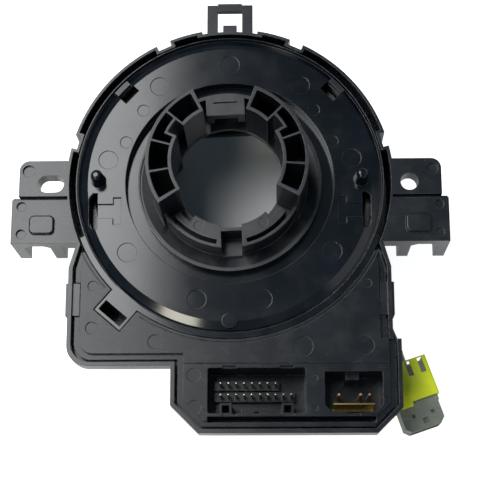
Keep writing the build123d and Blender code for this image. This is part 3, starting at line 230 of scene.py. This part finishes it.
def edge_group():
    """Rounded-edge normal, and a mask of the edges that take a lighter colour: a
    painted edge highlight, partly rubbed wear.
    """
    inputs = [("Radius", "NodeSocketFloat", 0.0002), ("Gain", "NodeSocketFloat", 3.0)]
    outputs = [("Edge", "NodeSocketFloat"), ("Normal", "NodeSocketVector")]
    tree, start, end = new_group("moulded_edge", inputs, outputs)
    bevel = put(tree, "ShaderNodeBevel", {"Radius": start.outputs["Radius"]})
    bevel.samples = BEVEL_SAMPLES
    face = put(tree, "ShaderNodeNewGeometry")
    turn = put(
        tree,
        "ShaderNodeVectorMath",
        {0: bevel.outputs[0], 1: face.outputs["Normal"]},
        operation="DOT_PRODUCT",
    )
    off = maths(tree, "SUBTRACT", 1.0, turn.outputs["Value"])
    where = put(tree, "ShaderNodeTexCoord").outputs["Object"]
    patch = put(tree, "ShaderNodeTexNoise", {"Vector": where, "Scale": EDGE_LIGHT_AND_WEAR_SCALE})
    # Patchy mask of the painted edge highlight, partly real wear.
    lit_and_worn = remap(tree, patch.outputs[0], 0.3, 0.62, 0.35, 1.0)
    gain = maths(tree, "MULTIPLY", off, start.outputs["Gain"], True)
    tree.links.new(maths(tree, "MULTIPLY", gain, lit_and_worn), end.inputs["Edge"])
    tree.links.new(bevel.outputs[0], end.inputs["Normal"])
    return tree


def skin_group():
    """Fine eroded grain, flow shading and faint rubbing of a moulding."""
    inputs = [
        ("Grain", "NodeSocketFloat", GRAIN_SCALE),
        ("Flow", "NodeSocketFloat", FLOW_SCALE),
    ]
    outputs = [("Height", "NodeSocketFloat"), ("Shade", "NodeSocketFloat")]
    tree, start, end = new_group("moulded_skin", inputs, outputs)
    where = put(tree, "ShaderNodeTexCoord").outputs["Object"]
    grain = put(
        tree,
        "ShaderNodeTexNoise",
        {"Vector": where, "Scale": start.outputs["Grain"], "Detail": 2.0},
    )
    flow = put(
        tree,
        "ShaderNodeTexNoise",
        {
            "Vector": where,
            "Scale": start.outputs["Flow"],
            "Detail": 5.0,
            "Distortion": 0.8,
        },
    )
    stretch = put(
        tree,
        "ShaderNodeMapping",
        {"Vector": where, "Rotation": (0.0, 0.0, 0.6), "Scale": (1.0, 9.0, 1.0)},
    )
    rub = put(
        tree,
        "ShaderNodeTexNoise",
        {"Vector": stretch.outputs[0], "Scale": RUB_SCALE, "Detail": 3.0},
    )
    rubbed = remap(tree, rub.outputs[0], 0.56, 0.74)
    shade = maths(tree, "ADD", flow.outputs[0], maths(tree, "MULTIPLY", rubbed, 0.22))
    tree.links.new(grain.outputs[0], end.inputs["Height"])
    tree.links.new(shade, end.inputs["Shade"])
    return tree


def dust_group():
    """Specks and lint that settle on the faces that look up."""
    inputs = [("Amount", "NodeSocketFloat", 0.3)]
    tree, start, end = new_group("settled_dust", inputs, [("Dust", "NodeSocketFloat")])
    where = put(tree, "ShaderNodeTexCoord").outputs["Object"]
    speck = put(tree, "ShaderNodeTexVoronoi", {"Vector": where, "Scale": SPECK_SCALE})
    near = remap(tree, speck.outputs["Distance"], 0.05, 0.16, 1.0, 0.0)
    chosen = put(tree, "ShaderNodeSeparateColor", {0: speck.outputs["Color"]})
    few = remap(tree, chosen.outputs[0], 0.90, 0.93)
    haze = put(
        tree,
        "ShaderNodeTexNoise",
        {"Vector": where, "Scale": HAZE_SCALE, "Detail": 4.0},
    )
    cloud = remap(tree, haze.outputs[0], 0.42, 0.72, 0.0, 0.16)
    both = maths(tree, "ADD", maths(tree, "MULTIPLY", near, few), cloud)
    face = put(tree, "ShaderNodeNewGeometry")
    up = put(tree, "ShaderNodeSeparateXYZ", {0: face.outputs["Normal"]})
    facing = remap(tree, up.outputs["Z"], 0.4, 0.95)
    lying = maths(tree, "MULTIPLY", both, facing)
    total = maths(tree, "MULTIPLY", lying, start.outputs["Amount"], True)
    tree.links.new(total, end.inputs["Dust"])
    return tree


GROUPS = {}


def group_node(tree, name, maker, **values):
    """Places a shared group, made the first time it is asked for."""
    if name not in GROUPS:
        GROUPS[name] = maker()
    node = tree.nodes.new("ShaderNodeGroup")
    node.node_tree = GROUPS[name]
    for key, value in values.items():
        node.inputs[key].default_value = value
    return node


def finish_material(
    name,
    base,
    rough,
    *,
    radius=None,
    gain=3.0,
    grain=GRAIN_SCALE,
    flow=FLOW_SCALE,
    dust=0.3,
    dark=0.75,
    light=1.35,
    lit_and_worn=None,
    edge=0.55,
    spread=0.08,
    bump=0.12,
    metallic=0.0,
    specular=0.5,
):
    """A finish with rounded edges, grain, flow shading and dust.

    dark and light scale the base colour where the flow shading is deep or pale,
    edge and gain set how far and how sharply the edges are painted towards the
    lit_and_worn colour, a painted edge highlight that is partly wear, and spread is how
    much the roughness changes over the surface.
    """
    settings = bpy.context.scene.clock_finish
    if radius is None:
        radius = settings.edge_radius
    # The default edge colour is the painted edge highlight, partly wear.
    if lit_and_worn is None:
        lit_and_worn = tuple(settings.edge_highlight_and_wear)
    material = bpy.data.materials.new(name)
    material.use_nodes = True
    tree = material.node_tree
    shader = tree.nodes["Principled BSDF"]
    rim = group_node(tree, "moulded_edge", edge_group, Radius=radius, Gain=gain)
    skin = group_node(tree, "moulded_skin", skin_group, Grain=grain, Flow=flow)
    specks = group_node(tree, "settled_dust", dust_group, Amount=dust)
    shade = remap(tree, skin.outputs["Shade"], 0.3, 0.8, 0.0, 1.0)
    deep = tuple(c * dark for c in base)
    pale = tuple(min(1.0, c * light) for c in base)
    body = blend_colour(tree, shade, deep, pale)
    # Edges blended towards the lighter colour: painted edge highlight, partly wear.
    edge_lit_and_worn = maths(tree, "MULTIPLY", rim.outputs["Edge"], edge, True)
    body = blend_colour(tree, edge_lit_and_worn, body, lit_and_worn)
    body = blend_colour(tree, specks.outputs["Dust"], body, tuple(settings.dust_grey))
    tree.links.new(body, shader.inputs["Base Color"])
    uneven = maths(tree, "MULTIPLY", skin.outputs["Shade"], spread)
    rougher = maths(tree, "ADD", rough - spread / 2, uneven)
    dulled = maths(tree, "MULTIPLY", specks.outputs["Dust"], 0.3)
    rougher = maths(tree, "ADD", rougher, dulled, True)
    tree.links.new(rougher, shader.inputs["Roughness"])
    relief = put(
        tree,
        "ShaderNodeBump",
        {
            "Strength": bump,
            "Distance": GRAIN_DEPTH,
            "Height": skin.outputs["Height"],
            "Normal": rim.outputs["Normal"],
        },
    )
    tree.links.new(relief.outputs[0], shader.inputs["Normal"])
    shader.inputs["Metallic"].default_value = metallic
    shader.inputs["Specular IOR Level"].default_value = specular
    return material


def dress(node, material):
    """Gives a node's object one finish."""
    slots = NODES[node].data.materials
    if len(slots) == 0:
        slots.append(material)
    for index in range(len(slots)):
        slots[index] = material


# ---------------------------------------------------------------- operators
class FinishMouldings(bpy.types.Operator):
    """Finish the black mouldings: case, dish, housing, rotor and hub sleeve"""

    bl_idname = "clock_spring.mouldings"
    bl_label = "Black mouldings"

    def execute(self, context):
        s = context.scene.clock_finish
        case = finish_material(
            "satin_case_black",
            tuple(s.case_black),
            0.27,
            flow=90.0,
            dust=0.3,
            edge=0.8,
            gain=5.0,
        )
        dish = finish_material(
            "polished_dish_black",
            tuple(s.dish_black),
            0.13,
            bump=0.03,
            edge=0.5,
            gain=4.0,
            dust=0.18,
            spread=0.08,
        )
        housing = finish_material(
            "satin_housing_black",
            tuple(s.case_black),
            0.25,
            flow=70.0,
            dust=0.3,
            edge=0.7,
            gain=5.0,
            specular=0.36,
        )
        rotor = finish_material("satin_rotor_black", tuple(s.case_black), 0.42)
        # Strong painted edge highlight on the hub's ribs, partly wear.
        hub = finish_material(
            "ribbed_hub_black", tuple(s.hub_black), 0.30, edge=0.9, gain=6.0, dust=0.6
        )
        dress("stator_case", case)
        dress("dish_cover", dish)
        dress("terminal_housing", housing)
        dress("rotor", rotor)
        dress("hub_sleeve", hub)
        return {"FINISHED"}


class FinishTerminals(bpy.types.Operator):
    """Finish the terminals and the shorting strip"""

    bl_idname = "clock_spring.terminals"
    bl_label = "Terminals"

    def execute(self, context):
        s = context.scene.clock_finish
        metal = dict(
            metallic=1.0,
            dust=0.0,
            bump=0.05,
            radius=PIN_EDGE_RADIUS,
            edge=0.2,
            light=1.1,
        )
        tin = finish_material("tinned_terminal", tuple(s.pin_metal), 0.26, **metal)
        pins = finish_material("copper_pin", tuple(s.airbag_pin), 0.3, **metal)
        gold = finish_material("gold_strip", tuple(s.gold), 0.28, **metal)
        dress("main_terminals", tin)
        dress("switch_terminals", tin)
        dress("plug_terminals", tin)
        dress("srs_terminals", pins)
        dress("shorting_bar", gold)
        return {"FINISHED"}


class FinishCable(bpy.types.Operator):
    """Finish the flat cable, its rollers and carrier, and the slip sheet"""

    bl_idname = "clock_spring.cable"
    bl_label = "Flat cable and rollers"

    def execute(self, context):
        s = context.scene.clock_finish
        # Near-black film: painted shade for the cable seen in the shadowed slots.
        film_painted_shade = finish_material("cable_film", tuple(s.film_painted_shade), 0.25, dust=0.0)
        nylon = finish_material("nylon", tuple(s.nylon), 0.45, dust=0.0)
        for node in ("outer_cable", "inner_cable", "cable_turn"):
            dress(node, film_painted_shade)
        dress("slip_sheet", nylon)
        dress("stator_lead_block", nylon)
        for node in NODES:
            if node.startswith("roller_"):
                dress(node, nylon)
        return {"FINISHED"}


class AddLead(bpy.types.Operator):
    """Lay the sleeved airbag lead and finish its wires, plug and locking sleeve"""

    bl_idname = "clock_spring.lead"
    bl_label = "Airbag lead"

    def execute(self, context):
        s = context.scene.clock_finish
        lead = context.scene.clock_lead
        curve = bpy.data.curves.new("lead_sleeving", "CURVE")
        curve.dimensions = "3D"
        curve.bevel_depth = lead.tube_d / 2
        curve.bevel_resolution = 6
        curve.resolution_u = 16
        curve.use_fill_caps = True
        spline = curve.splines.new("NURBS")
        spline.points.add(len(LEAD_ROUTE) - 1)
        for point, place in zip(spline.points, LEAD_ROUTE):
            point.co = (*(c * MM for c in place), 1.0)
        spline.order_u = 3
        spline.use_endpoint_u = True
        tube = bpy.data.objects.new("lead_sleeving", curve)
        context.scene.collection.objects.link(tube)
        tube.data.materials.append(
            finish_material(
                "woven_sleeving",
                tuple(s.sleeving_black),
                0.55,
                dust=0.5,
                grain=SLEEVING_GRAIN,
                bump=0.6,
                edge=0.0,
            )
        )
        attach(tube, "rotor_body")
        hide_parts("lead_tube")
        green = finish_material(
            "green_insulation", tuple(s.wire_green), 0.3, dust=0.1, edge=0.0
        )
        white = finish_material(
            "white_insulation", tuple(s.wire_white), 0.3, dust=0.1, edge=0.0
        )
        # Paler grey painted on the plug's edges: painted edge highlight, partly wear.
        grey = finish_material(
            "grey_plug", tuple(s.plug_grey), 0.42, dust=0.2, lit_and_worn=(0.5, 0.5, 0.5)
        )
        # Paler yellow painted on the sleeve's edges: painted edge highlight, partly
        # wear.
        yellow = finish_material(
            "yellow_sleeve",
            tuple(s.sleeve_yellow),
            0.34,
            dust=0.1,
            lit_and_worn=(0.9, 0.95, 0.2),
            light=1.15,
            dark=0.85,
        )
        dress("green_wire", green)
        dress("white_wire", white)
        dress("plug_body", grey)
        dress("plug_sleeve", yellow)
        return {"FINISHED"}


def aim(obj, place, target, up=(0.0, 1.0, 0.0)):
    """Stands a camera or lamp at a place, looking at a target."""
    back = (Vector(place) - Vector(target)).normalized()
    side = Vector(up).cross(back).normalized()
    turn = Matrix((side, back.cross(side), back)).transposed().to_4x4()
    obj.matrix_world = Matrix.Translation(place) @ turn


def soft_lamp(name, place, target, width, depth, power, tint):
    """Hangs a soft rectangular lamp."""
    lamp = bpy.data.lights.new(name, "AREA")
    lamp.shape = "RECTANGLE"
    lamp.size = width
    lamp.size_y = depth
    lamp.energy = power
    lamp.color = tint
    obj = bpy.data.objects.new(name, lamp)
    bpy.context.scene.collection.objects.link(obj)
    aim(obj, place, target)


def floor_material(tint):
    """Pale floor that is plain below the part and lifted to white round it."""
    material = bpy.data.materials.new("pale_floor")
    material.use_nodes = True
    tree = material.node_tree
    shader = tree.nodes["Principled BSDF"]
    shader.inputs["Base Color"].default_value = (*tint, 1.0)
    shader.inputs["Roughness"].default_value = 0.9
    shader.inputs["Specular IOR Level"].default_value = 0.1
    where = put(tree, "ShaderNodeTexCoord").outputs["Object"]
    far = put(tree, "ShaderNodeVectorMath", {0: where}, operation="LENGTH")
    outside = remap(tree, far.outputs["Value"], FLOOR_SHADED_TO, FLOOR_WHITE_FROM)
    rays = put(tree, "ShaderNodeLightPath")
    glossy = maths(tree, "MULTIPLY", rays.outputs["Is Glossy Ray"], FLOOR_GLOSSY_SHARE)
    seen = maths(tree, "MAXIMUM", rays.outputs["Is Camera Ray"], glossy)
    seen = maths(tree, "MAXIMUM", seen, rays.outputs["Is Transmission Ray"])
    lift = maths(tree, "MULTIPLY", maths(tree, "MULTIPLY", seen, outside), FLOOR_LIFT)
    shader.inputs["Emission Color"].default_value = (*WHITE, 1.0)
    tree.links.new(lift, shader.inputs["Emission Strength"])
    return material


def lay_floor(tint):
    """Lays the floor just below the part."""
    mesh = bpy.data.meshes.new("floor")
    bm = bmesh.new()
    bmesh.ops.create_grid(bm, x_segments=1, y_segments=1, size=FLOOR_HALF)
    bmesh.ops.translate(bm, verts=bm.verts, vec=(0.0, 0.0, -FLOOR_DROP))
    bm.to_mesh(mesh)
    bm.free()
    floor = bpy.data.objects.new("floor", mesh)
    bpy.context.scene.collection.objects.link(floor)
    mesh.materials.append(floor_material(tint))


def light_sky(strength):
    """An even sky: white where the camera sees it, faint and blue on the part."""
    world = bpy.data.worlds.new("even_sky")
    bpy.context.scene.world = world
    world.use_nodes = True
    tree = world.node_tree
    sky = tree.nodes["Background"]
    seen = put(tree, "ShaderNodeLightPath").outputs["Is Camera Ray"]
    extra = maths(tree, "MULTIPLY", seen, 1.0 - strength)
    tree.links.new(maths(tree, "ADD", extra, strength), sky.inputs["Strength"])
    tree.links.new(blend_colour(tree, seen, SKY_TINT, WHITE), sky.inputs["Color"])


def stand_camera(focal):
    """Stands the camera and makes it the scene's own."""
    lens = bpy.data.cameras.new("camera")
    lens.lens = focal
    lens.sensor_width = SENSOR_MM
    lens.clip_start = CAMERA_NEAR
    camera = bpy.data.objects.new("camera", lens)
    bpy.context.scene.collection.objects.link(camera)
    aim(camera, CAMERA_PLACE, CAMERA_TARGET)
    bpy.context.scene.camera = camera


class SetStage(bpy.types.Operator):
    """Set the floor, the soft lamps, the sky and the camera"""

    bl_idname = "clock_spring.stage"
    bl_label = "Stage"

    def execute(self, context):
        stage = context.scene.clock_stage
        lay_floor(tuple(stage.floor))
        for name, place, width, depth, power, tint in LAMPS:
            soft_lamp(name, place, MIDDLE, width, depth, getattr(stage, power), tint)
        light_sky(stage.sky)
        stand_camera(stage.focal)
        context.scene.view_settings.view_transform = "Standard"
        return {"FINISHED"}


OPERATORS = (FinishMouldings, FinishTerminals, FinishCable, AddLead, SetStage)


class ClockSpringPanel(bpy.types.Panel):
    """Steps that dress the clock spring"""

    bl_idname = "VIEW3D_PT_clock_spring"
    bl_label = "Clock Spring"
    bl_space_type = "VIEW_3D"
    bl_region_type = "UI"
    bl_category = "Clock Spring"

    def draw(self, context):
        for step in OPERATORS:
            self.layout.operator(step.bl_idname)
        for group in ("clock_finish", "clock_lead", "clock_stage"):
            settings = getattr(context.scene, group)
            box = self.layout.box()
            for key in settings.__annotations__:
                box.prop(settings, key)


CLASSES = (FinishSettings, LeadSettings, StageSettings, *OPERATORS, ClockSpringPanel)


def register():
    """Registers the classes and their settings."""
    for item in CLASSES:
        bpy.utils.register_class(item)
    bpy.types.Scene.clock_finish = PointerProperty(type=FinishSettings)
    bpy.types.Scene.clock_lead = PointerProperty(type=LeadSettings)
    bpy.types.Scene.clock_stage = PointerProperty(type=StageSettings)


def unregister():
    """Takes the classes and their settings away again."""
    del bpy.types.Scene.clock_finish
    del bpy.types.Scene.clock_lead
    del bpy.types.Scene.clock_stage
    for item in reversed(CLASSES):
        bpy.utils.unregister_class(item)


def main():
    """Registers the add-on and runs each step."""
    register()
    bpy.ops.clock_spring.mouldings()
    bpy.ops.clock_spring.terminals()
    bpy.ops.clock_spring.cable()
    bpy.ops.clock_spring.lead()
    bpy.ops.clock_spring.stage()


if __name__ == "__main__":
    main()
